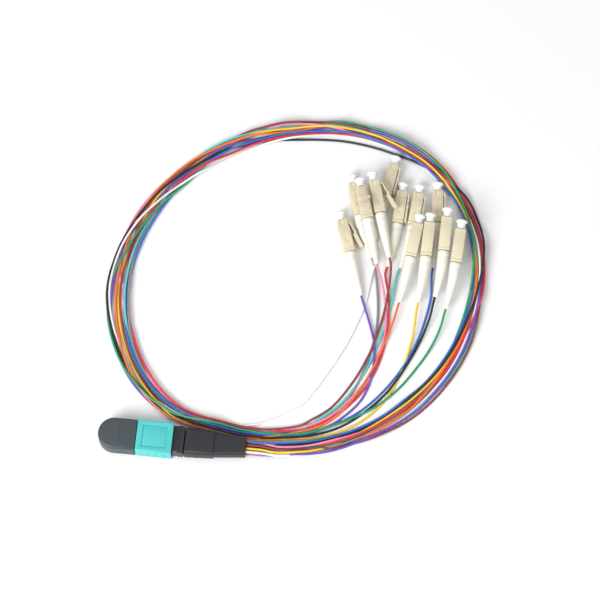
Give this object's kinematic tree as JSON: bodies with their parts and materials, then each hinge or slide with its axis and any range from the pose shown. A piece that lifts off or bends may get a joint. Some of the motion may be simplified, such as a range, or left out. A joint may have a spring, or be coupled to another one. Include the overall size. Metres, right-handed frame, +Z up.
{
  "type": "fibre breakout cable",
  "caption": "Flat multi-fibre push-on plug with sliding sleeve, dust cap and tapered boot, whose coloured fibre tubes run in a loose loop to small latched connectors with white caps",
  "frame": {"origin": "Middle of the flat underside of the trunk plug's coupling sleeve, on the surface that the cable lies on", "axes": "+X along the trunk plug from its dust cap to its boot, +Z up from the surface, +Y to the side on which the loop and the small connectors lie"},
  "size_m": [0.1479, 0.1465, 0.0144],
  "materials": {
    "dust_cap": "fine matt moulded plastic",
    "coupling_sleeve": "satin moulded plastic",
    "plug_body": "satin moulded plastic",
    "plug_ferrule": "hard filled plastic",
    "plug_boot": "matt rubber",
    "connector_body": "satin beige plastic",
    "connector_tail": "matt white rubber",
    "connector_cap": "satin soft plastic, a little translucent",
    "fibre_blue": "smooth satin tube jacket",
    "fibre_orange": "smooth satin tube jacket",
    "fibre_green": "smooth satin tube jacket",
    "fibre_brown": "smooth satin tube jacket",
    "fibre_slate": "smooth satin tube jacket",
    "fibre_white": "smooth satin tube jacket",
    "fibre_red": "smooth satin tube jacket",
    "fibre_black": "smooth satin tube jacket",
    "fibre_yellow": "smooth satin tube jacket",
    "fibre_violet": "smooth satin tube jacket",
    "fibre_rose": "smooth satin tube jacket",
    "fibre_aqua": "smooth satin tube jacket"
  },
  "bodies": {
    "loom": {"plug_body": "plug_body", "plug_ferrule": "plug_ferrule", "plug_boot": "plug_boot", "fibre_blue": "fibre_blue", "connector_tail_blue": "connector_tail", "connector_body_blue": "connector_body", "connector_cap_blue": "connector_cap", "fibre_orange": "fibre_orange", "connector_tail_orange": "connector_tail", "connector_body_orange": "connector_body", "connector_cap_orange": "connector_cap", "fibre_green": "fibre_green", "connector_tail_green": "connector_tail", "connector_body_green": "connector_body", "connector_cap_green": "connector_cap", "fibre_brown": "fibre_brown", "connector_tail_brown": "connector_tail", "connector_body_brown": "connector_body", "connector_cap_brown": "connector_cap", "fibre_slate": "fibre_slate", "connector_tail_slate": "connector_tail", "connector_body_slate": "connector_body", "connector_cap_slate": "connector_cap", "fibre_white": "fibre_white", "connector_tail_white": "connector_tail", "connector_body_white": "connector_body", "connector_cap_white": "connector_cap", "fibre_red": "fibre_red", "connector_tail_red": "connector_tail", "connector_body_red": "connector_body", "connector_cap_red": "connector_cap", "fibre_black": "fibre_black", "connector_tail_black": "connector_tail", "connector_body_black": "connector_body", "connector_cap_black": "connector_cap", "fibre_yellow": "fibre_yellow", "connector_tail_yellow": "connector_tail", "connector_body_yellow": "connector_body", "connector_cap_yellow": "connector_cap", "fibre_violet": "fibre_violet", "connector_tail_violet": "connector_tail", "connector_body_violet": "connector_body", "connector_cap_violet": "connector_cap", "fibre_rose": "fibre_rose", "connector_tail_rose": "connector_tail", "connector_body_rose": "connector_body", "connector_cap_rose": "connector_cap", "fibre_aqua": "fibre_aqua", "connector_tail_aqua": "connector_tail", "connector_body_aqua": "connector_body", "connector_cap_aqua": "connector_cap"},
    "trunk_cap": {"dust_cap": "dust_cap"},
    "sleeve": {"coupling_sleeve": "coupling_sleeve"}
  },
  "joints": [
    {"name": "trunk_cap_pull", "type": "slide", "parent": "loom", "child": "trunk_cap", "axis": [-1, 0, 0], "range_m": [0, 0.012]},
    {"name": "sleeve_release", "type": "slide", "parent": "loom", "child": "sleeve", "axis": [1, 0, 0], "range_m": [0, 0.0022], "stiffness_N_per_m": 900}
  ]
}
